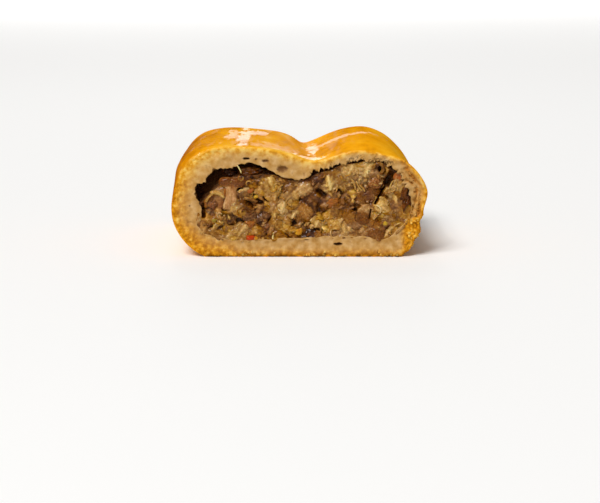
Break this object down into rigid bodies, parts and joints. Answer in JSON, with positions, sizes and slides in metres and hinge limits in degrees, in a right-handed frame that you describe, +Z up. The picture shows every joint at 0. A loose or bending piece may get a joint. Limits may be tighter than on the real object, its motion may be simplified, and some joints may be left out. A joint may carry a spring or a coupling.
{
  "type": "strudel",
  "caption": "Cut length of savoury strudel: a creased, egg-glazed golden dough wrap baked round a mushroom and cabbage filling that shows at the cut ends.",
  "frame": {"origin": "on the resting plane, under the middle of the log", "axes": "+X across the log, +Y along it from the front cut to the back cut, +Z up"},
  "size_m": [0.1122, 0.0864, 0.0491],
  "materials": {
    "baked_dough": "egg-glazed golden crust, satin to glossy on top, pale crumb where it is cut",
    "stewed_filling": "moist stewed cabbage and mushroom, tan to dark brown"
  },
  "bodies": {
    "root": {"dough_wrap": "baked_dough", "filling": "stewed_filling"}
  },
  "joints": []
}
